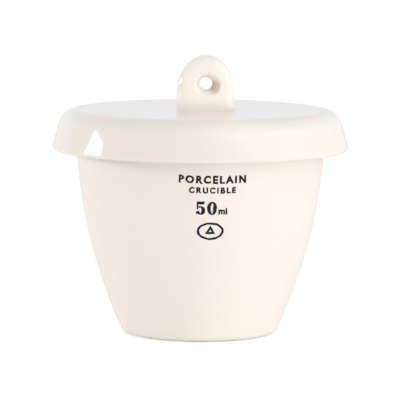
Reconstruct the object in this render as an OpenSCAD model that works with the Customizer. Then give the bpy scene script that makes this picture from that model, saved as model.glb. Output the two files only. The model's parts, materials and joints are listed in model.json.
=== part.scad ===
// Small laboratory crucible in glazed porcelain, with a loose overhanging lid.
// The cup stands on its flat foot at z = 0, centred on the Z axis.  The lid rests on
// the ground rim of the cup.  A pierced lug is luted on top of the lid, so that tongs
// or a wire hook can lift it.

/* [Crucible] */
// Diameter over the rim
rim_d = 50.6; // [36:0.1:70]
// Diameter at which the line of the wall meets the foot plane
foot_d = 31.2; // [24:0.1:38]
// Height from the foot to the rim
cup_h = 42.6; // [32:0.1:60]
// Radius of the arc that the wall follows from foot to rim
wall_arc_r = 103; // [70:1:200]
// Wall thickness just under the rim
wall_rim_t = 1.9; // [1.4:0.1:3]
// Wall thickness level with the foot
wall_foot_t = 2.6; // [1.8:0.1:3.5]
// Thickness of the floor
floor_t = 2.8; // [2:0.1:5]
// Rounding between the wall and the foot outside
foot_round = 1.9; // [1:0.1:4]
// Rounding between the wall and the floor inside
bowl_round = 9; // [5:0.5:11]
// Rounding of both edges of the rim
lip_round = 0.55; // [0.2:0.05:0.65]

/* [Lid] */
// Thickness of the flat plate
lid_t = 2.8; // [1.8:0.1:4]
// Gap all round between the rim and the root of the skirt
lid_gap = 1.1; // [0.9:0.1:2.5]
// Depth of the skirt below the seat
skirt_drop = 5.4; // [4:0.1:9]
// Thickness of the skirt
skirt_t = 2.2; // [1.6:0.1:3]
// Lean of the skirt away from upright, in degrees
skirt_lean = 16; // [0:0.5:20]
// Rounding of both lower edges of the skirt
edge_round = 0.7; // [0.3:0.1:0.8]
// Rounding between the plate and the skirt outside
shoulder_round = 3.6; // [2:0.1:4.2]
// Rounding between the plate and the skirt inside
seat_round = 1; // [0.5:0.1:1.2]

/* [Lug] */
// Width of the lug
lug_w = 11.6; // [10:0.1:16]
// Thickness of the lug along the axis of its hole
lug_t = 6.2; // [5.4:0.1:9]
// Height of the lug above the lid
lug_h = 10.9; // [10:0.1:16]
// Height of the arched part of the lug, which stands on its upright part
arch_h = 7.1; // [5:0.1:9]
// Height of the hole's axis above the lid
hole_h = 5.3; // [4.5:0.1:7]
// Distance of the hand-set lug from the middle of the lid
lug_shift = 1; // [0:0.1:3]
// Diameter of the throat of the hole
hole_d = 2.6; // [2:0.1:4]
// Radius of the funnel at each end of the hole
funnel_r = 1.9; // [1.5:0.1:2.3]
// Rounding of the lug's outer edges
lug_round = 1.9; // [1:0.1:2.2]

/* [Luting] */
// Width of the bead of slip around the foot of the lug
bead_w = 0.8; // [0.5:0.1:1.5]
// Height to which the bead of slip climbs the lug
bead_h = 1.4; // [0.8:0.1:2]

/* [Hidden] */
$fn = 120;

// Steps along the long wall arc and along each small rounding
wall_steps = 18;
round_steps = 8;
// How far cutting shapes reach past what they cut
over = 1;
// The funnel stops this far short of turning flat into the face of the lug
funnel_lip = 0.15;
// Feather edges of the bead of slip are left this thick
bead_edge = 0.12;

porcelain = [0.965, 0.925, 0.88];
lid_glaze = [0.955, 0.925, 0.89];
lug_glaze = [0.955, 0.905, 0.865];
slip = [0.94, 0.90, 0.85];

rim_r = rim_d / 2;
lid_top = cup_h + lid_t;
stem_h = lug_h - arch_h;

// Points on an arc about centre c, from angle a0 to angle a1
function arc(c, r, a0, a1, n) =
    [for (i = [0:n]) let(a = a0 + (a1 - a0) * i / n) c + r * [cos(a), sin(a)]];

// Centre, on the axis side, of the arc of radius r that rises from p to q
function wall_centre(p, q, r) =
    let(d = q - p, half = norm(d) / 2)
    (p + q) / 2 + sqrt(r * r - half * half) * [-d.y, d.x] / norm(d);

// Point at height z whose distance from c is r, on the side away from the axis
function at_height(c, r, z) = [c.x + sqrt(r * r - (z - c.y) * (z - c.y)), z];

// Direction from c to p
function heading(c, p) = atan2(p.y - c.y, p.x - c.x);

// Half section of the cup, from the middle of the foot round to the middle of the floor
function cup_section() =
    let(
        r = wall_arc_r,
        co = wall_centre([foot_d / 2, 0], [rim_r, cup_h], r),
        ci = wall_centre([foot_d / 2 - wall_foot_t, 0], [rim_r - wall_rim_t, cup_h], r),
        foot = at_height(co, r - foot_round, foot_round),
        lip_out = at_height(co, r - lip_round, cup_h - lip_round),
        lip_in = at_height(ci, r + lip_round, cup_h - lip_round),
        bowl = at_height(ci, r - bowl_round, floor_t + bowl_round)
    )
    concat(
        [[0, 0]],
        arc(foot, foot_round, -90, heading(co, foot), round_steps),
        arc(co, r, heading(co, foot), heading(co, lip_out), wall_steps),
        arc(lip_out, lip_round, heading(co, lip_out), 90, round_steps),
        arc(lip_in, lip_round, 90, 180 + heading(ci, lip_in), round_steps),
        arc(ci, r, heading(ci, lip_in), heading(ci, bowl), wall_steps),
        arc(bowl, bowl_round, heading(ci, bowl), -90, 2 * round_steps),
        [[0, floor_t]]
    );

// Point at height z that lies a distance d from the axis, measured square to the skirt
function beside_skirt(d, z) = [(d - sin(skirt_lean) * z) / cos(skirt_lean), z];

// Half section of the lid, from the middle of its top round to the middle of its seat
function lid_section() =
    let(
        root = [rim_r + lid_gap, cup_h],
        inner = root * [cos(skirt_lean), sin(skirt_lean)],
        outer = inner + skirt_t,
        shoulder = beside_skirt(outer - shoulder_round, lid_top - shoulder_round),
        corner_z = cup_h - skirt_drop + edge_round,
        corner_out = beside_skirt(outer - edge_round, corner_z),
        corner_in = beside_skirt(inner + edge_round, corner_z),
        seat = beside_skirt(inner - seat_round, cup_h - seat_round)
    )
    concat(
        [[0, lid_top]],
        arc(shoulder, shoulder_round, 90, skirt_lean, round_steps),
        arc(corner_out, edge_round, skirt_lean, -90, round_steps),
        arc(corner_in, edge_round, -90, skirt_lean - 180, round_steps),
        arc(seat, seat_round, skirt_lean, 90, round_steps),
        [[0, cup_h]]
    );

module crucible() {
    color(porcelain)
        rotate_extrude()
            polygon(cup_section());
}

module lid_plate() {
    color(lid_glaze)
        rotate_extrude()
            polygon(lid_section());
}

// Lays a shape drawn about the Z axis along Y, at a height above the lid at the lug's place
module across_lug(height) {
    translate([lug_shift, 0, lid_top + height])
        rotate([90, 0, 0])
            children();
}

// Half section of the rounded arch, measured from its middle
module arch_section() {
    polygon(concat(
        [[0, -lug_t / 2]],
        arc([lug_w / 2 - lug_round, lug_round - lug_t / 2], lug_round, -90, 0, round_steps),
        arc([lug_w / 2 - lug_round, lug_t / 2 - lug_round], lug_round, 0, 90, round_steps),
        [[0, lug_t / 2]]
    ));
}

// Outline of the upright part of the lug, seen from above
module stem_outline() {
    x = lug_w / 2 - lug_round;
    y = lug_t / 2 - lug_round;
    polygon(concat(
        arc([x, y], lug_round, 0, 90, round_steps),
        arc([-x, y], lug_round, 90, 180, round_steps),
        arc([-x, -y], lug_round, 180, 270, round_steps),
        arc([x, -y], lug_round, 270, 360, round_steps)
    ));
}

// One end of the hole: a round-shouldered funnel that opens from the throat to the face
module funnel() {
    throat_end = lug_t / 2 + funnel_lip - funnel_r;
    rotate_extrude()
        polygon(concat(
            [[0, throat_end]],
            arc([hole_d / 2 + funnel_r, throat_end], funnel_r, 180, 90, round_steps),
            [[hole_d / 2 + funnel_r, lug_t / 2 + over], [0, lug_t / 2 + over]]
        ));
}

module lug() {
    color(lug_glaze)
        difference() {
            union() {
                across_lug(stem_h)
                    scale([1, 2 * arch_h / lug_w, 1])
                        rotate_extrude(angle = 180)
                            arch_section();
                translate([lug_shift, 0, lid_top])
                    linear_extrude(stem_h)
                        stem_outline();
            }
            across_lug(hole_h) {
                cylinder(d = hole_d, h = lug_t + 2 * over, center = true);
                funnel();
                mirror([0, 0, 1]) funnel();
            }
        }
}

// Hollow-faced section of the bead of slip, measured out from the side of the lug
module bead_section() {
    hollow = [bead_w - bead_edge, bead_h - bead_edge];
    polygon(concat(
        [[0, 0], [bead_w, 0]],
        [for (p = arc([0, 0], 1, 270, 180, round_steps))
            [bead_w + hollow.x * p.x, bead_h + hollow.y * p.y]],
        [[0, bead_h]]
    ));
}

// A straight length of bead, which runs along X with its hollow face towards -Y
module bead_run(length) {
    rotate([90, 0, 90])
        linear_extrude(length, center = true)
            mirror([1, 0])
                bead_section();
}

module lug_luting() {
    x = lug_w / 2 - lug_round;
    y = lug_t / 2 - lug_round;
    color(slip)
        translate([lug_shift, 0, lid_top])
            for (side = [0, 180])
                rotate([0, 0, side]) {
                    translate([0, -lug_t / 2, 0]) bead_run(2 * x);
                    translate([lug_w / 2, 0, 0]) rotate([0, 0, 90]) bead_run(2 * y);
                    translate([x, y, 0])
                        rotate_extrude(angle = 90)
                            translate([lug_round, 0]) bead_section();
                    translate([x, -y, 0])
                        rotate([0, 0, -90])
                            rotate_extrude(angle = 90)
                                translate([lug_round, 0]) bead_section();
                }
}

crucible();
lid_plate();
lug();
lug_luting();
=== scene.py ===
"""Looks of a small glazed porcelain crucible with a loose lid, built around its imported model.

Lengths are in metres.  Values ending in _MM are in millimetres and are turned into metres by mm().
"""
import json
import math

import bmesh
import bpy
from mathutils import Matrix, Vector, noise


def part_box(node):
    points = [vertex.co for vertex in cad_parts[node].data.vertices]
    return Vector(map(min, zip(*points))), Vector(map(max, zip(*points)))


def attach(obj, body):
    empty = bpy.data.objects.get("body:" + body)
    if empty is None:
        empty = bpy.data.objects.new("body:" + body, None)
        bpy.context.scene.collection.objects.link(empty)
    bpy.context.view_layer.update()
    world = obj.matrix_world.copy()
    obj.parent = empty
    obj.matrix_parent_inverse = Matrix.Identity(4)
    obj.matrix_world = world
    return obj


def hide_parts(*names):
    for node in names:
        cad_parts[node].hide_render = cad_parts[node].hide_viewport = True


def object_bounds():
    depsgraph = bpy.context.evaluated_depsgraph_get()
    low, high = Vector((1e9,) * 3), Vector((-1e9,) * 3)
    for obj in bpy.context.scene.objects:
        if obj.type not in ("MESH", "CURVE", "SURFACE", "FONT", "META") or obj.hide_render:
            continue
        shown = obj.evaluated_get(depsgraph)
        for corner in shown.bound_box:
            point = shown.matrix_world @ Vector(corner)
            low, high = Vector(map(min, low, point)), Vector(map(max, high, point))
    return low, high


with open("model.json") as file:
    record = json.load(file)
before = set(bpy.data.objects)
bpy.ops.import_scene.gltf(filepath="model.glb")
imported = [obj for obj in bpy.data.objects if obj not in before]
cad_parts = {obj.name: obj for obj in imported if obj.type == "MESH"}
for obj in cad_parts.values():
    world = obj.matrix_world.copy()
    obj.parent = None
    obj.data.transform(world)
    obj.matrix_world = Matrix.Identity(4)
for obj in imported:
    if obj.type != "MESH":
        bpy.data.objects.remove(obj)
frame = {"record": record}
cad_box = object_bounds()

# The noise that bends the surfaces takes its offsets from this seed; unseeded, it differs on each run.
NOISE_SEED = 1
noise.seed_set(NOISE_SEED)


def mm(value):
    """Millimetres as metres."""
    return value * 0.001


# ---------------------------------------------------------------- sizes from the frame

CUP_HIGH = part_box("crucible")[1]
LID_LOW, LID_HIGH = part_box("lid_plate")
LUG_LOW, LUG_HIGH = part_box("lug")
BEAD_LOW, BEAD_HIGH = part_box("lug_luting")
MOUNTS = {mount["name"]: mount for mount in frame["record"]["mounts"]}

RIM_Z = CUP_HIGH.z
LID_TOP_Z = LID_HIGH.z
SKIRT_Z = LID_LOW.z
LUG_X = (LUG_LOW.x + LUG_HIGH.x) / 2
LUG_HALF_W = (LUG_HIGH.x - LUG_LOW.x) / 2
LUG_HALF_T = (LUG_HIGH.y - LUG_LOW.y) / 2
LUG_H = LUG_HIGH.z - LUG_LOW.z
BEAD_H = BEAD_HIGH.z - BEAD_LOW.z
BEAD_W = LUG_LOW.x - BEAD_LOW.x
HOLE_R = mm(MOUNTS["lug_hole"]["dims"]["r_mm"])
HOLE_H = MOUNTS["lug_hole"]["pos_m"][2] - LID_TOP_Z

# ---------------------------------------------------------------- sizes of the sections

RIM_R = mm(25.3)
FOOT_R = mm(15.6)
WALL_ARC_R = mm(103)
WALL_RIM_T = mm(1.9)
WALL_FOOT_T = mm(2.6)
FLOOR_T = mm(2.8)
FOOT_ROUND = mm(1.9)
BOWL_ROUND = mm(9)
LIP_ROUND = mm(0.55)

LID_GAP = mm(1.1)
SKIRT_T = mm(2.2)
SKIRT_LEAN = math.radians(16)
SHOULDER_ROUND = mm(3.6)
EDGE_ROUND = mm(0.7)
SEAT_ROUND = mm(1)

ARCH_H = mm(7.1)
LUG_ROUND = mm(1.9)
FUNNEL_R = mm(1.9)
FUNNEL_LIP = mm(0.15)
THROAT_END = LUG_HALF_T + FUNNEL_LIP - FUNNEL_R
MOUTH_ANGLE = math.acos((LUG_HALF_T - THROAT_END) / FUNNEL_R)
FUNNEL_END = HOLE_R + FUNNEL_R * (1 - math.sin(MOUTH_ANGLE))
FUNNEL_SKEW = 0.16
FUNNEL_SKEW_WAY = math.radians(-25)
LUG_LEAN = math.radians(1.3)

TURN_STEPS = 192
WALL_STEPS = 44
ROUND_STEPS = 12
HALF_TURN = math.pi


def arc(centre, radius, start, end, steps):
    """Points of an arc in the plane of a half section, between two angles in radians."""
    turn = (end - start) / steps
    return [centre + radius * Vector((math.cos(start + turn * i), math.sin(start + turn * i)))
            for i in range(steps + 1)]


def wall_centre(low, high, radius):
    """Centre, on the axis side, of the arc that rises from low to high."""
    chord = high - low
    half = chord.length / 2
    square = Vector((-chord.y, chord.x)).normalized()
    return (low + high) / 2 + math.sqrt(radius ** 2 - half ** 2) * square


def at_height(centre, radius, z):
    """Point at height z at that distance from centre, on the side away from the axis."""
    return Vector((centre.x + math.sqrt(radius ** 2 - (z - centre.y) ** 2), z))


def heading(centre, point):
    """Direction from centre to point."""
    return math.atan2(point.y - centre.y, point.x - centre.x)


WALL_OUT = wall_centre(Vector((FOOT_R, 0)), Vector((RIM_R, RIM_Z)), WALL_ARC_R)
WALL_IN = wall_centre(Vector((FOOT_R - WALL_FOOT_T, 0)), Vector((RIM_R - WALL_RIM_T, RIM_Z)), WALL_ARC_R)


def rings(radius, z, pitch=mm(2.5)):
    """Points from the axis out to a radius, at one height, a pitch apart."""
    count = max(1, round(radius / pitch))
    return [Vector((radius * i / count, z)) for i in range(count)]


def cup_section():
    """Half section of the cup, from the middle of the foot round to the middle of the floor."""
    foot = at_height(WALL_OUT, WALL_ARC_R - FOOT_ROUND, FOOT_ROUND)
    lip_out = at_height(WALL_OUT, WALL_ARC_R - LIP_ROUND, RIM_Z - LIP_ROUND)
    lip_in = at_height(WALL_IN, WALL_ARC_R + LIP_ROUND, RIM_Z - LIP_ROUND)
    bowl = at_height(WALL_IN, WALL_ARC_R - BOWL_ROUND, FLOOR_T + BOWL_ROUND)
    down, up = -HALF_TURN / 2, HALF_TURN / 2
    foot_end, out_end = heading(WALL_OUT, foot), heading(WALL_OUT, lip_out)
    in_end, bowl_end = heading(WALL_IN, lip_in), heading(WALL_IN, bowl)
    return (
        rings(foot.x, 0)
        + arc(foot, FOOT_ROUND, down, foot_end, ROUND_STEPS)
        + arc(WALL_OUT, WALL_ARC_R, foot_end, out_end, WALL_STEPS)[1:]
        + arc(lip_out, LIP_ROUND, out_end, up, ROUND_STEPS)[1:]
        + arc(lip_in, LIP_ROUND, up, HALF_TURN + in_end, ROUND_STEPS)
        + arc(WALL_IN, WALL_ARC_R, in_end, bowl_end, WALL_STEPS)[1:]
        + arc(bowl, BOWL_ROUND, bowl_end, down, 2 * ROUND_STEPS)[1:]
        + rings(bowl.x, FLOOR_T)[::-1]
    )


def beside_skirt(distance, z):
    """Point at height z at a distance from the axis measured square to the skirt."""
    return Vector(((distance - math.sin(SKIRT_LEAN) * z) / math.cos(SKIRT_LEAN), z))


def lid_section():
    """Half section of the lid, from the middle of its top round to the middle of its seat."""
    inner = (RIM_R + LID_GAP) * math.cos(SKIRT_LEAN) + RIM_Z * math.sin(SKIRT_LEAN)
    outer = inner + SKIRT_T
    shoulder = beside_skirt(outer - SHOULDER_ROUND, LID_TOP_Z - SHOULDER_ROUND)
    corner_out = beside_skirt(outer - EDGE_ROUND, SKIRT_Z + EDGE_ROUND)
    corner_in = beside_skirt(inner + EDGE_ROUND, SKIRT_Z + EDGE_ROUND)
    seat = beside_skirt(inner - SEAT_ROUND, RIM_Z - SEAT_ROUND)
    up = HALF_TURN / 2
    return (
        rings(shoulder.x, LID_TOP_Z)
        + arc(shoulder, SHOULDER_ROUND, up, SKIRT_LEAN, 2 * ROUND_STEPS)
        + arc(corner_out, EDGE_ROUND, SKIRT_LEAN, -up, ROUND_STEPS)
        + arc(corner_in, EDGE_ROUND, -up, SKIRT_LEAN - HALF_TURN, ROUND_STEPS)
        + arc(seat, SEAT_ROUND, SKIRT_LEAN, up, ROUND_STEPS)
        + rings(seat.x, RIM_Z)[::-1]
    )


# ---------------------------------------------------------------- mesh helpers

def finish_mesh(bm, name, materials, pick=None):
    """Turns a bmesh into a smooth piece.  pick gives a face's place in the list of materials."""
    bmesh.ops.remove_doubles(bm, verts=bm.verts, dist=mm(0.001))
    bmesh.ops.recalc_face_normals(bm, faces=bm.faces)
    for face in bm.faces:
        face.smooth = True
        face.material_index = pick(face) if pick else 0
    mesh = bpy.data.meshes.new(name)
    bm.to_mesh(mesh)
    bm.free()
    piece = bpy.data.objects.new(name, mesh)
    bpy.context.scene.collection.objects.link(piece)
    for material in materials:
        mesh.materials.append(material)
    return piece


def turned(section):
    """A bmesh turned about the Z axis from a half section."""
    bm = bmesh.new()
    verts = [bm.verts.new((point.x, 0, point.y)) for point in section]
    for first, second in zip(verts, verts[1:]):
        bm.edges.new((first, second))
    bmesh.ops.spin(bm, geom=bm.verts[:] + bm.edges[:], cent=(0, 0, 0), axis=(0, 0, 1),
                   angle=2 * HALF_TURN, steps=TURN_STEPS, use_merge=True)
    return bm


def wobble(point, size, pitch, seed):
    """A smooth shift of a point, at most about size, that repeats no sooner than pitch."""
    return size * noise.noise_vector(point / pitch + Vector((seed, seed, seed)))


# ---------------------------------------------------------------- shader helpers

def new_node(tree, kind, links=None, **values):
    """Adds a node.  values sets its properties or, where it has none of that name, its sockets."""
    made = tree.nodes.new(kind)
    for name, value in values.items():
        if hasattr(made, name):
            setattr(made, name, value)
        else:
            made.inputs[name.replace("_", " ")].default_value = value
    for name, source in (links or {}).items():
        tree.links.new(source, made.inputs[name])
    return made


def ramp(tree, source, low, high, out_low=0.0, out_high=1.0):
    """Maps a value smoothly from one range to another."""
    made = new_node(tree, "ShaderNodeMapRange", interpolation_type="SMOOTHSTEP",
                    From_Min=low, From_Max=high, To_Min=out_low, To_Max=out_high)
    tree.links.new(source, made.inputs["Value"])
    return made.outputs["Result"]


def mixed(tree, share, first, second, blend="MIX"):
    """Mixes two colours.  Each of share, first and second is a socket or a plain value."""
    made = tree.nodes.new("ShaderNodeMix")
    made.data_type = "RGBA"
    made.blend_type = blend
    for index, value in ((0, share), (6, first), (7, second)):
        if isinstance(value, bpy.types.NodeSocket):
            tree.links.new(value, made.inputs[index])
        else:
            made.inputs[index].default_value = value
    return made.outputs[2]


def math_node(tree, operation, first, second):
    """Joins two values, each a socket or a number."""
    made = new_node(tree, "ShaderNodeMath", operation=operation)
    for index, value in enumerate((first, second)):
        if isinstance(value, bpy.types.NodeSocket):
            tree.links.new(value, made.inputs[index])
        else:
            made.inputs[index].default_value = value
    return made.outputs[0]


def new_group(name, inputs, outputs):
    """A shader node group with named inputs (name, kind, value) and outputs (name, kind)."""
    group = bpy.data.node_groups.new(name, "ShaderNodeTree")
    for socket, kind, value in inputs:
        made = group.interface.new_socket(socket, in_out="INPUT", socket_type=kind)
        if value is not None:
            made.default_value = value
    for socket, kind in outputs:
        group.interface.new_socket(socket, in_out="OUTPUT", socket_type=kind)
    return group, group.nodes.new("NodeGroupInput"), group.nodes.new("NodeGroupOutput")


def new_material(name):
    """A material with its node tree and its Principled shader."""
    material = bpy.data.materials.new(name)
    material.use_nodes = True
    return material, material.node_tree, material.node_tree.nodes["Principled BSDF"]


def place_group(tree, group, links, **values):
    """Places a group in a material, with its own values."""
    made = tree.nodes.new("ShaderNodeGroup")
    made.node_tree = group
    for name, value in values.items():
        made.inputs[name.replace("_", " ")].default_value = value
    for name, source in links.items():
        tree.links.new(source, made.inputs[name])
    return made


FLOAT, COLOUR, VECTOR = "NodeSocketFloat", "NodeSocketColor", "NodeSocketVector"


def glaze_tone_group():
    """Slow drift between a thin, warm glaze and a thick, greyer one, with fine mottling."""
    tree, given, result = new_group(
        "glaze_tone",
        [("Vector", VECTOR, None), ("Colour", COLOUR, None), ("Pool", COLOUR, None),
         ("Drift", FLOAT, 0.1), ("Mottle", FLOAT, 0.05)],
        [("Colour", COLOUR)])
    slow = new_node(tree, "ShaderNodeTexNoise", {"Vector": given.outputs["Vector"]},
                    Scale=95.0, Detail=3.0, Roughness=0.5)
    fine = new_node(tree, "ShaderNodeTexNoise", {"Vector": given.outputs["Vector"]},
                    Scale=900.0, Detail=4.0, Roughness=0.6)
    drift = math_node(tree, "MULTIPLY", ramp(tree, slow.outputs[0], 0.35, 0.7), given.outputs["Drift"])
    mottle = math_node(tree, "MULTIPLY", ramp(tree, fine.outputs[0], 0.45, 0.75), given.outputs["Mottle"])
    share = math_node(tree, "ADD", drift, mottle)
    tone = mixed(tree, share, given.outputs["Colour"], given.outputs["Pool"])
    tree.links.new(tone, result.inputs["Colour"])
    return tree


def glaze_speck_group():
    """Rare small iron specks and pinholes scattered in the glaze."""
    tree, given, result = new_group(
        "glaze_specks",
        [("Vector", VECTOR, None), ("Spacing", FLOAT, 140.0), ("Size", FLOAT, 0.03), ("Share", FLOAT, 0.05)],
        [("Mask", FLOAT)])
    cells = new_node(tree, "ShaderNodeTexVoronoi", {"Vector": given.outputs["Vector"],
                                                    "Scale": given.outputs["Spacing"]})
    near = math_node(tree, "LESS_THAN", cells.outputs["Distance"], given.outputs["Size"])
    chance = new_node(tree, "ShaderNodeSeparateColor", {"Color": cells.outputs["Color"]})
    rare = math_node(tree, "LESS_THAN", chance.outputs[0], given.outputs["Share"])
    tree.links.new(math_node(tree, "MULTIPLY", near, rare), result.inputs["Mask"])
    return tree


def glaze_skin_group():
    """Height of the glaze: a long soft ripple with a very fine orange peel on it."""
    tree, given, result = new_group(
        "glaze_skin",
        [("Vector", VECTOR, None), ("Ripple", FLOAT, 1.0), ("Peel", FLOAT, 1.0)],
        [("Height", FLOAT), ("Wear", FLOAT)])
    long_wave = new_node(tree, "ShaderNodeTexNoise", {"Vector": given.outputs["Vector"]},
                         Scale=160.0, Detail=1.0)
    peel = new_node(tree, "ShaderNodeTexNoise", {"Vector": given.outputs["Vector"]},
                    Scale=1500.0, Detail=2.0)
    wear = new_node(tree, "ShaderNodeTexNoise", {"Vector": given.outputs["Vector"]},
                    Scale=420.0, Detail=5.0, Roughness=0.65)
    height = math_node(tree, "ADD",
                       math_node(tree, "MULTIPLY", long_wave.outputs[0], given.outputs["Ripple"]),
                       math_node(tree, "MULTIPLY", peel.outputs[0], given.outputs["Peel"]))
    tree.links.new(height, result.inputs["Height"])
    tree.links.new(ramp(tree, wear.outputs[0], 0.5, 0.72), result.inputs["Wear"])
    return tree


GLAZE_TONE = glaze_tone_group()
GLAZE_SPECKS = glaze_speck_group()
GLAZE_SKIN = glaze_skin_group()

# ---------------------------------------------------------------- materials

SPECK_COLOUR = (0.16, 0.12, 0.09, 1)
SPECK_SHARE = 0.6
GLAZE_IOR = 1.52
GLAZE_WEAR = 0.035
BISCUIT_WARM = (0.80, 0.74, 0.67, 1)
BISCUIT_CLEAN = (0.88, 0.83, 0.76, 1)
BISCUIT_SOILED = (0.62, 0.55, 0.47, 1)
INK_IOR = 1.3
INK_DARK = (0.002, 0.006, 0.008, 1)
INK_THIN = (0.008, 0.022, 0.026, 1)
CUP_COLOUR = (0.93, 0.852, 0.785, 1)
LID_COLOUR = (0.912, 0.84, 0.78, 1)
# The lug's own cream glaze, made lighter than the cup's to paint in light falling on the lug.
LUG_COLOUR_LIGHTENED = (0.955, 0.885, 0.815, 1)
# The slip's own cream glaze, made lighter to paint out the shade in the crease at the foot of the lug.
SLIP_COLOUR_LIGHTENED = (0.94, 0.87, 0.79, 1)
POOL_COLOUR = (0.87, 0.82, 0.765, 1)
# Painted shade in the lug's hole: its colour, how far right and down its centre lies from the hole's axis,
# and its strength.
HOLE_SHADE_COLOUR = (0.66, 0.54, 0.45, 1)
SHADE_SHIFT_X = mm(2.1)
SHADE_DROP = mm(0.6)
SHADE_STRENGTH = 0.95


def glazed(name, colour, pool, drift=0.12, mottle=0.05, gloss=0.07, ripple=1.0, speck_share=0.04,
           coat=0.0):
    """Clear-glazed porcelain of one colour, which drifts towards pool where the glaze is thick."""
    material, tree, shader = new_material(name)
    shader.inputs["IOR"].default_value = GLAZE_IOR
    shader.inputs["Coat Roughness"].default_value = 0.03
    shader.inputs["Coat Weight"].default_value = coat
    place = new_node(tree, "ShaderNodeTexCoord").outputs["Object"]
    tone = place_group(tree, GLAZE_TONE, {"Vector": place},
                       Colour=colour, Pool=pool, Drift=drift, Mottle=mottle)
    specks = place_group(tree, GLAZE_SPECKS, {"Vector": place}, Spacing=150.0, Size=0.035, Share=speck_share)
    skin = place_group(tree, GLAZE_SKIN, {"Vector": place}, Ripple=ripple, Peel=0.02)
    speckled = mixed(tree, math_node(tree, "MULTIPLY", specks.outputs["Mask"], SPECK_SHARE),
                     tone.outputs["Colour"], SPECK_COLOUR)
    tree.links.new(speckled, shader.inputs["Base Color"])
    rough = math_node(tree, "ADD", math_node(tree, "MULTIPLY", skin.outputs["Wear"], GLAZE_WEAR), gloss)
    tree.links.new(rough, shader.inputs["Roughness"])
    bump = new_node(tree, "ShaderNodeBump", {"Height": skin.outputs["Height"]},
                    Strength=0.25, Distance=mm(0.02))
    tree.links.new(bump.outputs[0], shader.inputs["Normal"])
    return material


def biscuit(name):
    """Bare fired porcelain on the foot, ground rim and stacking ring: matt, with a fine grain."""
    material, tree, shader = new_material(name)
    place = new_node(tree, "ShaderNodeTexCoord").outputs["Object"]
    grain = new_node(tree, "ShaderNodeTexNoise", {"Vector": place}, Scale=2600.0, Detail=6.0, Roughness=0.7)
    stain = new_node(tree, "ShaderNodeTexNoise", {"Vector": place}, Scale=170.0, Detail=4.0, Roughness=0.6)
    specks = place_group(tree, GLAZE_SPECKS, {"Vector": place}, Spacing=420.0, Size=0.09, Share=0.12)
    clean = mixed(tree, ramp(tree, grain.outputs[0], 0.35, 0.7), BISCUIT_WARM, BISCUIT_CLEAN)
    soiled = mixed(tree, ramp(tree, stain.outputs[0], 0.52, 0.75, 0.0, 0.5), clean, BISCUIT_SOILED)
    dark = mixed(tree, math_node(tree, "MULTIPLY", specks.outputs["Mask"], 0.5), soiled, SPECK_COLOUR)
    tree.links.new(dark, shader.inputs["Base Color"])
    tree.links.new(ramp(tree, grain.outputs[0], 0.3, 0.7, 0.62, 0.82), shader.inputs["Roughness"])
    bump = new_node(tree, "ShaderNodeBump", {"Height": grain.outputs[0]}, Strength=0.6, Distance=mm(0.05))
    tree.links.new(bump.outputs[0], shader.inputs["Normal"])
    return material


def ink(name, porcelain):
    """Blackish green stamping ink under the glaze, thin and mottled where the stamp was dry."""
    material, tree, shader = new_material(name)
    shader.inputs["IOR"].default_value = INK_IOR
    shader.inputs["Roughness"].default_value = 0.12
    place = new_node(tree, "ShaderNodeTexCoord").outputs["Object"]
    cloud = new_node(tree, "ShaderNodeTexNoise", {"Vector": place}, Scale=1700.0, Detail=3.0, Roughness=0.6)
    dry = new_node(tree, "ShaderNodeTexNoise", {"Vector": place}, Scale=5200.0, Detail=2.0, Roughness=0.6)
    tone = mixed(tree, ramp(tree, cloud.outputs[0], 0.4, 0.7), INK_DARK, INK_THIN)
    gaps = ramp(tree, dry.outputs[0], 0.64, 0.78, 0.0, 0.3)
    tree.links.new(mixed(tree, gaps, tone, porcelain), shader.inputs["Base Color"])
    return material


def paint_shade_in_hole(material, colour):
    """Paints shade into a glaze's colour in the lug's hole: a darker crescent centred right of and below the
    hole's axis, kept inside the funnel, where its right wall lies in shade.
    """
    tree = material.node_tree
    base = tree.nodes["Principled BSDF"].inputs["Base Color"]
    place = new_node(tree, "ShaderNodeTexCoord").outputs["Object"]
    across = new_node(tree, "ShaderNodeVectorMath", {0: place}, operation="MULTIPLY")
    across.inputs[1].default_value = (1, 0, 1)
    away = new_node(tree, "ShaderNodeVectorMath", {0: across.outputs[0]}, operation="DISTANCE")
    away.inputs[1].default_value = (LUG_X + SHADE_SHIFT_X, 0, LID_TOP_Z + HOLE_H - SHADE_DROP)
    reach = new_node(tree, "ShaderNodeVectorMath", {0: across.outputs[0]}, operation="DISTANCE")
    reach.inputs[1].default_value = (LUG_X, 0, LID_TOP_Z + HOLE_H)
    in_funnel = ramp(tree, reach.outputs["Value"], mm(2.7), mm(3.3), 1.0, 0.0)
    # Painted shade, strongest near its offset centre and gone 2.2 mm from it.
    pool = ramp(tree, away.outputs["Value"], mm(0.6), mm(2.2), SHADE_STRENGTH, 0.0)
    shade_amount = math_node(tree, "MULTIPLY", pool, in_funnel)
    tree.links.new(mixed(tree, shade_amount, base.links[0].from_socket, colour), base)


CUP_GLAZE = glazed("cup_glaze", CUP_COLOUR, POOL_COLOUR)
LID_GLAZE = glazed("lid_glaze", LID_COLOUR, POOL_COLOUR, ripple=0.6, speck_share=0.03)
# The lug's glaze carries painted light: a lighter colour all over, and painted shade in its hole.
LUG_GLAZE_PAINTED = glazed("lug_glaze", LUG_COLOUR_LIGHTENED, POOL_COLOUR, drift=0.2, gloss=0.04, ripple=1.0, speck_share=0.0,
                   coat=0.35)
# Paints the shaded right wall of the hole's funnel into the lug's glaze.
paint_shade_in_hole(LUG_GLAZE_PAINTED, HOLE_SHADE_COLOUR)
# The bead's glaze is lightened to paint out shade at the lug's foot.
SLIP_GLAZE_LIGHTENED = glazed("slip_glaze_lightened", SLIP_COLOUR_LIGHTENED, POOL_COLOUR, drift=0.3, ripple=1.5, speck_share=0.0,
                    coat=0.5)
BISCUIT = biscuit("bare_biscuit")
MARK_INK = ink("marking_ink", CUP_COLOUR)

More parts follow.
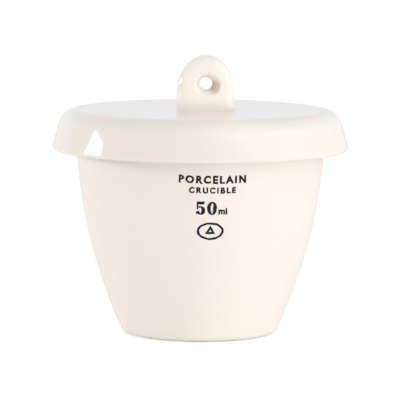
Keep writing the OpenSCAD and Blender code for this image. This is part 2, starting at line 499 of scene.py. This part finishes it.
# ---------------------------------------------------------------- cup

GLAZE_LINE_Z = mm(0.35)
GROUND_RIM = mm(0.45)
WALL_WOBBLE = mm(0.03)
WALL_PITCH = mm(16)
WALL_SEED = 3.0
FADE_AT_RIM = mm(6)
FADE_AT_FOOT = mm(5)


def bare_on_cup(face):
    """1 on the bare foot and on the ground top of the rim, and 0 on the glaze."""
    middle = face.calc_center_median()
    reach = math.hypot(middle.x, middle.y)
    on_foot = middle.z < GLAZE_LINE_Z and reach > 0
    rim_middle = RIM_R - WALL_RIM_T / 2
    on_rim = middle.z > RIM_Z - mm(0.02) and abs(reach - rim_middle) < GROUND_RIM
    return int(on_foot or on_rim)


def wall_shift(point):
    """Slight unevenness of the thrown wall, which fades out towards the foot and the rim."""
    fade = min(1, max(0, (RIM_Z - point.z) / FADE_AT_RIM)) * min(1, max(0, point.z / FADE_AT_FOOT))
    shift = wobble(point, WALL_WOBBLE, WALL_PITCH, WALL_SEED) * fade
    shift.z = 0
    return shift


def make_cup():
    """The cup, glazed all over but for its foot and its ground rim."""
    bm = turned(cup_section())
    for vert in bm.verts:
        vert.co += wall_shift(vert.co)
    cup = finish_mesh(bm, "crucible_porcelain", [CUP_GLAZE, BISCUIT], bare_on_cup)
    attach(cup, "cup")
    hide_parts("crucible")


# ---------------------------------------------------------------- lid

STACKING_RING_Z = SKIRT_Z + mm(0.16)
TOP_DIP = mm(0.012)
TOP_PITCH = mm(14)


def bare_on_lid(face):
    """1 on the narrow bare ring that the lid was fired on, and 0 on the glaze."""
    return int(face.calc_center_median().z < STACKING_RING_Z)


def make_lid():
    """The lid's plate and skirt, its flat top very slightly uneven."""
    bm = turned(lid_section())
    for vert in bm.verts:
        flat_top = vert.co.z > LID_TOP_Z - mm(0.01)
        if flat_top:
            vert.co.z += TOP_DIP * (noise.noise(vert.co / TOP_PITCH) - 1)
    lid = finish_mesh(bm, "lid_porcelain", [LID_GLAZE, BISCUIT], bare_on_lid)
    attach(lid, "lid")
    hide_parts("lid_plate")


# ---------------------------------------------------------------- lug

LUG_SINK = mm(1.2)
LUG_TURN_STEPS = 160
FLAT_STEPS = 4
LUG_WOBBLE = mm(0.05)
LUG_PITCH = mm(4)
LUG_SEED = 11.0
NEARLY_LEVEL = 1e-6


def to_outline(angle, inset):
    """Distance from the hole's axis to the lug's outline, drawn in by inset, in one direction."""
    across, up = math.cos(angle), math.sin(angle)
    half, arch, base = LUG_HALF_W - inset, ARCH_H - inset, LUG_H - ARCH_H
    rise = HOLE_H - base
    a = (across / half) ** 2 + (up / arch) ** 2
    b = rise * up / arch ** 2
    c = (rise / arch) ** 2 - 1
    to_arch = (-b + math.sqrt(b * b - a * c)) / a
    if HOLE_H + to_arch * up >= base:
        return to_arch
    to_side = half / abs(across) if abs(across) > NEARLY_LEVEL else math.inf
    to_foot = (HOLE_H + LUG_SINK) / -up if up < -NEARLY_LEVEL else math.inf
    return min(to_side, to_foot)


def lug_section():
    """Half section of one wall of the hole: throat, funnels, faces and rounded outer edge.

    The first number of each point runs from 0 at the throat to 1 at the end of the funnel, from
    1 to 2 over the flat face, and from 2 to 3 over the rounded edge.  The second is its place along Y.
    """
    quarter = HALF_TURN / 2
    side = []
    for i in range(FLAT_STEPS):
        side.append((0.0, THROAT_END * i / FLAT_STEPS))
    for i in range(ROUND_STEPS + 1):
        angle = (quarter - MOUTH_ANGLE) * i / ROUND_STEPS
        share = (1 - math.cos(angle)) / (1 - math.sin(MOUTH_ANGLE))
        side.append((share, THROAT_END + FUNNEL_R * math.sin(angle)))
    for i in range(1, FLAT_STEPS):
        side.append((1 + i / FLAT_STEPS, LUG_HALF_T))
    for i in range(ROUND_STEPS + 1):
        angle = quarter * i / ROUND_STEPS
        side.append((2 + math.sin(angle), LUG_HALF_T - LUG_ROUND * (1 - math.cos(angle))))
    side.append((3.0, (LUG_HALF_T - LUG_ROUND) / 2))
    return side + [(share, -y) for share, y in side[::-1] if share > 0 or y > 0] + [(3.0, 0.0)]


def turned_lug(section):
    """A bmesh of the section turned about the hole's axis, its throat at a distance of 1 from it."""
    middle = 1.5
    order = sorted(range(len(section)), key=lambda i: math.atan2(section[i][1], section[i][0] - middle))
    bm = bmesh.new()
    verts = [bm.verts.new((1 + section[i][0], section[i][1], 0)) for i in order]
    for first, second in zip(verts, verts[1:] + verts[:1]):
        bm.edges.new((first, second))
    bmesh.ops.spin(bm, geom=bm.verts[:] + bm.edges[:], cent=(0, 0, 0), axis=(0, 1, 0),
                   angle=2 * HALF_TURN, steps=LUG_TURN_STEPS, use_merge=True)
    return bm


def lug_place(turned_place):
    """Moves a place on the turned lug out to the funnel, the flat face or the rounded edge."""
    angle = math.atan2(turned_place.z, turned_place.x)
    share = math.hypot(turned_place.x, turned_place.z) - 1
    inner, outer = to_outline(angle, LUG_ROUND), to_outline(angle, 0)
    skew = FUNNEL_SKEW * math.cos(angle - FUNNEL_SKEW_WAY) if turned_place.y < 0 else 0
    mouth_end = FUNNEL_END * (1 + skew)
    if share <= 1:
        reach = HOLE_R + share * (mouth_end - HOLE_R)
    elif share <= 2:
        reach = mouth_end + (share - 1) * (inner - mouth_end)
    else:
        reach = inner + (share - 2) * (outer - inner)
    return Vector((reach * math.cos(angle), turned_place.y, reach * math.sin(angle)))


def make_lug():
    """The pierced lug, which leans a little, as set by hand."""
    bm = turned_lug(lug_section())
    for vert in bm.verts:
        vert.co = lug_place(vert.co)
    bmesh.ops.rotate(bm, verts=bm.verts, cent=(0, 0, 0), matrix=Matrix.Rotation(LUG_LEAN, 3, "Y"))
    bmesh.ops.translate(bm, verts=bm.verts, vec=(LUG_X, 0, LID_TOP_Z + HOLE_H))
    for vert in bm.verts:
        vert.co += wobble(vert.co, LUG_WOBBLE, LUG_PITCH, LUG_SEED)
        vert.co.z = min(vert.co.z, LUG_HIGH.z)
    lug = finish_mesh(bm, "lug_porcelain", [LUG_GLAZE_PAINTED])
    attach(lug, "lid")
    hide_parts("lug")


# ---------------------------------------------------------------- bead of slip

BEAD_SINK = mm(0.25)
BEAD_INSET = mm(0.4)


def bead_loop(bm, spread, height):
    """A closed loop round the foot of the lug, spread out from its side, at a height above the lid."""
    corner = LUG_ROUND + spread
    loop = []
    for quarter, (sx, sy) in enumerate(((1, 1), (-1, 1), (-1, -1), (1, -1))):
        middle = Vector((LUG_X + sx * (LUG_HALF_W - LUG_ROUND), sy * (LUG_HALF_T - LUG_ROUND)))
        start = quarter * HALF_TURN / 2
        for point in arc(middle, corner, start, start + HALF_TURN / 2, ROUND_STEPS):
            loop.append(bm.verts.new((point.x, point.y, LID_TOP_Z + height)))
    return [bm.edges.new((first, second)) for first, second in zip(loop, loop[1:] + loop[:1])]


def make_bead():
    """The hollow-sided bead of slip round the foot of the lug."""
    bm = bmesh.new()
    loops = [bead_loop(bm, -BEAD_INSET, -BEAD_SINK), bead_loop(bm, -BEAD_INSET, BEAD_H)]
    for i in range(ROUND_STEPS + 1):
        angle = HALF_TURN / 2 * i / ROUND_STEPS
        spread = BEAD_W * (1 - math.cos(angle)) - mm(0.03)
        loops.append(bead_loop(bm, spread, BEAD_H * (1 - math.sin(angle)) - mm(0.02)))
    loops.append(bead_loop(bm, BEAD_W - mm(0.2), -BEAD_SINK))
    for first, second in zip(loops, loops[1:] + loops[:1]):
        bmesh.ops.bridge_loops(bm, edges=first + second)
    bead = finish_mesh(bm, "slip_bead", [SLIP_GLAZE_LIGHTENED])
    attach(bead, "lid")
    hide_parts("lug_luting")


# ---------------------------------------------------------------- printed marking

INK_PROUD = mm(0.02)
INK_T = mm(0.035)
STAMP_WOBBLE = mm(0.09)
STAMP_PITCH = mm(0.8)
STAMP_SEED = 5.0
INK_EDGE = mm(0.45)
STAMP_BOW = 3.6
STAMP_TILT = math.radians(-0.5)


def wrap_on_cup(piece, middle_x, middle_z, turn=0.0):
    """Lays a flat piece drawn in X and Y on the front of the cup, its origin at a height on the wall."""
    mesh = piece.data
    bm = bmesh.new()
    bm.from_mesh(mesh)
    bmesh.ops.remove_doubles(bm, verts=bm.verts, dist=mm(0.002))
    for _ in range(2):
        long_edges = [edge for edge in bm.edges if edge.calc_length() > INK_EDGE]
        bmesh.ops.subdivide_edges(bm, edges=long_edges, cuts=1)
    bmesh.ops.triangulate(bm, faces=bm.faces)
    rolled = Matrix.Rotation(turn, 2)
    base = at_height(WALL_OUT, WALL_ARC_R, middle_z)
    for vert in bm.verts:
        shift = wobble(Vector((vert.co.x, vert.co.y, middle_z)), STAMP_WOBBLE, STAMP_PITCH, STAMP_SEED)
        blurred = vert.co + shift
        bowed = Vector((blurred.x, blurred.y + STAMP_BOW * blurred.x ** 2))
        flat = rolled @ bowed + Vector((middle_x, 0))
        rise = heading(WALL_OUT, base) + flat.y / WALL_ARC_R
        round_about = flat.x / base.x
        for_depth = WALL_ARC_R + INK_PROUD - vert.co.z
        spot = WALL_OUT + for_depth * Vector((math.cos(rise), math.sin(rise)))
        place = Vector((spot.x * math.sin(round_about), -spot.x * math.cos(round_about), spot.y))
        vert.co = place + wall_shift(place)
    bmesh.ops.recalc_face_normals(bm, faces=bm.faces)
    bm.to_mesh(mesh)
    bm.free()
    mesh.materials.clear()
    mesh.materials.append(MARK_INK)
    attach(piece, "cup")
    return piece


def thicken(bm):
    """Gives a flat drawing the thickness of the ink, behind it."""
    grown = bmesh.ops.extrude_face_region(bm, geom=bm.faces[:])
    moved = [item for item in grown["geom"] if isinstance(item, bmesh.types.BMVert)]
    bmesh.ops.translate(bm, verts=moved, vec=(0, 0, INK_T))


def flat_piece(name, bm):
    """A piece from a flat drawing."""
    thicken(bm)
    mesh = bpy.data.meshes.new(name)
    bm.to_mesh(mesh)
    bm.free()
    piece = bpy.data.objects.new(name, mesh)
    bpy.context.scene.collection.objects.link(piece)
    return piece


def word(name, text, cap_height, spacing, weight):
    """A word as a flat mesh about the middle of its letters, its capitals cap_height high."""
    curve = bpy.data.curves.new(name, "FONT")
    curve.body = text
    curve.align_x = "CENTER"
    curve.space_character = spacing
    curve.offset = weight
    curve.fill_mode = "FRONT"
    curve.resolution_u = 6
    typed = bpy.data.objects.new(name, curve)
    bpy.context.scene.collection.objects.link(typed)
    bpy.context.view_layer.update()
    mesh = bpy.data.meshes.new_from_object(typed.evaluated_get(bpy.context.evaluated_depsgraph_get()))
    bpy.data.objects.remove(typed)
    bm = bmesh.new()
    bm.from_mesh(mesh)
    bpy.data.meshes.remove(mesh)
    height = max(vert.co.y for vert in bm.verts) - min(vert.co.y for vert in bm.verts)
    middle = (max(vert.co.x for vert in bm.verts) + min(vert.co.x for vert in bm.verts)) / 2
    bmesh.ops.translate(bm, verts=bm.verts, vec=(-middle, 0, 0))
    bmesh.ops.scale(bm, verts=bm.verts, vec=Vector((1, 1, 1)) * cap_height / height)
    return flat_piece(name, bm)


def band(bm, outer, inner, sides=48, start=0.0, sweep=2 * HALF_TURN, middle=(0, 0)):
    """Draws a band between two ellipses, each given by its half width and half height."""
    ends = [bm.verts.new((math.cos(start) * size, math.sin(start) * size, 0)) for size in (2, 1)]
    bmesh.ops.spin(bm, geom=ends + [bm.edges.new(ends)], cent=(0, 0, 0), axis=(0, 0, 1),
                   angle=sweep, steps=sides, use_merge=sweep == 2 * HALF_TURN)
    fresh = [vert for vert in bm.verts if not vert.tag]
    for vert in fresh:
        half = outer if vert.co.length > 1.5 else inner
        way = vert.co.normalized()
        vert.co = Vector((middle[0] + way.x * half[0], middle[1] + way.y * half[1], 0))
        vert.tag = True


def bar(bm, low, high, lean=0.0):
    """Draws an upright bar between two corners, its top moved sideways by lean."""
    corners = [(low[0], low[1]), (high[0], low[1]), (high[0] + lean, high[1]), (low[0] + lean, high[1])]
    verts = [bm.verts.new((x, y, 0)) for x, y in corners]
    bm.faces.new(verts)
    for vert in verts:
        vert.tag = True


def make_capacity_digits():
    """The digits 5 and 0 with thick uprights and thin turns, on a line at Y = 0."""
    bm = bmesh.new()
    right_angle = HALF_TURN / 2
    band(bm, (mm(0.98), mm(1.34)), (mm(0.24), mm(1.06)), middle=(mm(1.15), mm(1.3)))
    band(bm, (mm(0.94), mm(0.9)), (mm(0.22), mm(0.62)), sides=32, start=-1.5 * right_angle,
         sweep=2.9 * right_angle, middle=(-mm(1.12), mm(0.86)))
    band(bm, (mm(0.34), mm(0.34)), (mm(0.01), mm(0.01)), sides=20, middle=(-mm(1.62), mm(0.42)))
    bar(bm, (-mm(1.85), mm(1.1)), (-mm(1.55), mm(2.6)), mm(0.06))
    bar(bm, (-mm(1.8), mm(2.06)), (-mm(0.34), mm(2.66)), mm(0.04))
    return flat_piece("mark_capacity", bm)


def make_emblem():
    """A plain oval ring round a plain triangle."""
    bm = bmesh.new()
    band(bm, (mm(2.65), mm(1.8)), (mm(2.2), mm(1.38)), sides=64)
    band(bm, (mm(1.2), mm(1.15)), (mm(0.36), mm(0.34)), sides=3, start=HALF_TURN / 2)
    return flat_piece("mark_emblem", bm)


def make_marking():
    """The stamped marking: two plain words, the capacity and a plain emblem."""
    upper = word("mark_upper_word", "PORCELAIN", mm(1.62), spacing=1.33, weight=0.05)
    lower = word("mark_lower_word", "CRUCIBLE", mm(1.24), spacing=1.42, weight=0.055)
    wrap_on_cup(upper, mm(2.5), mm(32.9), STAMP_TILT)
    wrap_on_cup(lower, mm(2.45), mm(30.95), STAMP_TILT)
    wrap_on_cup(make_capacity_digits(), mm(1.2), mm(26.65))
    wrap_on_cup(word("mark_unit", "ml", mm(1.35), spacing=1.08, weight=0.05), mm(4.5), mm(26.75))
    wrap_on_cup(make_emblem(), mm(2.05), mm(23.3))


make_cup()
make_lid()
make_lug()
make_bead()
make_marking()

# ---------------------------------------------------------------- floor, light and camera

CAMERA_RISE = math.radians(6.6)
CAMERA_ROLL = math.radians(0.4)
CAMERA_DISTANCE = 0.65
TARGET_Z = mm(25)
AIM_Z = mm(26.84)
LENS = 287.8
TENT_LEFT = (0.49, 0.49, 0.49, 1)
TENT_RIGHT = (0.83, 0.83, 0.82, 1)
TENT_BACK = (0.895, 0.905, 0.935, 1)
BACKGROUND = (1.05, 1.05, 1.05, 1)
SNOOT_BEAM = math.radians(2)
SNOOT_DISTANCE = 0.5


def direction(azimuth, rise):
    """Unit vector from the object; azimuth 0 is towards the camera and 90 is to its right, in degrees."""
    a, e = math.radians(azimuth), math.radians(rise)
    return Vector((math.sin(a) * math.cos(e), -math.cos(a) * math.cos(e), math.sin(e)))


def make_floor():
    """A plain white floor just under the foot."""
    bm = bmesh.new()
    bmesh.ops.create_circle(bm, cap_ends=True, segments=128, radius=3.0)
    bmesh.ops.translate(bm, verts=bm.verts, vec=(0, 0, cad_box[0].z - mm(0.02)))
    material, tree, shader = new_material("white_floor")
    shader.inputs["Base Color"].default_value = (0.86, 0.86, 0.86, 1)
    shader.inputs["Roughness"].default_value = 0.9
    shader.inputs["Specular IOR Level"].default_value = 0.2
    shader.inputs["Emission Color"].default_value = (1, 1, 1, 1)
    seen = new_node(tree, "ShaderNodeLightPath").outputs["Is Camera Ray"]
    tree.links.new(ramp(tree, seen, 0.0, 1.0, 0.13, 0.4), shader.inputs["Emission Strength"])
    floor = finish_mesh(bm, "floor", [material])


def softbox(name, azimuth, rise, distance, width, height, radiance, mirrored=True):
    """A rectangular light that faces the object, and is mirrored in its glaze or not."""
    light = bpy.data.lights.new(name, "AREA")
    light.shape = "RECTANGLE"
    light.size, light.size_y = width, height
    light.energy = radiance * math.pi * width * height
    holder = bpy.data.objects.new(name, light)
    bpy.context.scene.collection.objects.link(holder)
    holder.visible_glossy = mirrored
    away = direction(azimuth, rise)
    holder.location = Vector((0, 0, TARGET_Z)) + away * distance
    holder.rotation_euler = away.to_track_quat("Z", "Y").to_euler()
    return light


def snoot(name, azimuth, rise, power):
    """A narrow beam on the lug alone, which leaves no highlight of its own."""
    light = bpy.data.lights.new(name, "SPOT")
    light.spot_size = SNOOT_BEAM
    light.spot_blend = 0.6
    light.shadow_soft_size = 0.004
    light.energy = power
    holder = bpy.data.objects.new(name, light)
    bpy.context.scene.collection.objects.link(holder)
    holder.visible_glossy = False
    away = direction(azimuth, rise)
    holder.location = Vector((LUG_X, 0, LID_TOP_Z + HOLE_H - mm(2.5))) + away * SNOOT_DISTANCE
    holder.rotation_euler = away.to_track_quat("Z", "Y").to_euler()


def cut_corner(light, cut):
    """Leaves dark the part of a softbox above the line from one lower corner to a share along its top."""
    light.use_nodes = True
    tree = light.node_tree
    spot = new_node(tree, "ShaderNodeNewGeometry").outputs["Parametric"]
    parts = new_node(tree, "ShaderNodeSeparateXYZ", {"Vector": spot})
    edge = math_node(tree, "MULTIPLY", parts.outputs["Y"], cut)
    lit = math_node(tree, "GREATER_THAN", parts.outputs["X"], edge)
    tree.links.new(lit, tree.nodes["Emission"].inputs["Strength"])


def make_world():
    """A pale tent, a little darker in front on the left, and a white background."""
    world = bpy.data.worlds.new("studio_tent")
    bpy.context.scene.world = world
    world.use_nodes = True
    tree = world.node_tree
    sky = tree.nodes["Background"]
    way = new_node(tree, "ShaderNodeTexCoord").outputs["Generated"]
    parts = new_node(tree, "ShaderNodeSeparateXYZ", {"Vector": way})
    toward = new_node(tree, "ShaderNodeVectorMath", {0: way}, operation="DOT_PRODUCT")
    toward.inputs[1].default_value = direction(55, 0)
    side = ramp(tree, toward.outputs["Value"], -1.0, 1.0)
    back = ramp(tree, parts.outputs["Y"], 0.2, 0.9)
    front = mixed(tree, side, TENT_LEFT, TENT_RIGHT)
    tent = mixed(tree, back, front, TENT_BACK)
    seen = new_node(tree, "ShaderNodeLightPath").outputs["Is Camera Ray"]
    tree.links.new(mixed(tree, seen, tent, BACKGROUND), sky.inputs["Color"])
    sky.inputs["Strength"].default_value = 1.0


def make_camera():
    """A long lens, a little above the rim and turned very slightly."""
    lens = bpy.data.cameras.new("camera")
    lens.sensor_width = 36
    lens.lens = LENS
    lens.clip_start, lens.clip_end = 0.05, 10
    camera = bpy.data.objects.new("camera", lens)
    bpy.context.scene.collection.objects.link(camera)
    camera.location = Vector((0, 0, TARGET_Z)) + direction(0, math.degrees(CAMERA_RISE)) * CAMERA_DISTANCE
    look = Vector((0, 0, AIM_Z)) - camera.location
    level = look.to_track_quat("-Z", "Y")
    rolled = level @ Matrix.Rotation(CAMERA_ROLL, 3, "Z").to_quaternion()
    camera.rotation_euler = rolled.to_euler()
    bpy.context.scene.camera = camera


make_floor()
make_world()
softbox("key_softbox", 60, 24, 0.9, 0.9, 0.6, 0.5)
cut_corner(softbox("left_window", -94, 13, 0.9, 0.31, 0.14, 21.0), 0.45)
softbox("low_strip", 46, 0, 0.45, 0.34, 0.04, 10.5, mirrored=False)
snoot("front_snoot", 10, 3, 1.1)
make_camera()
bpy.context.scene.view_settings.view_transform = "Standard"
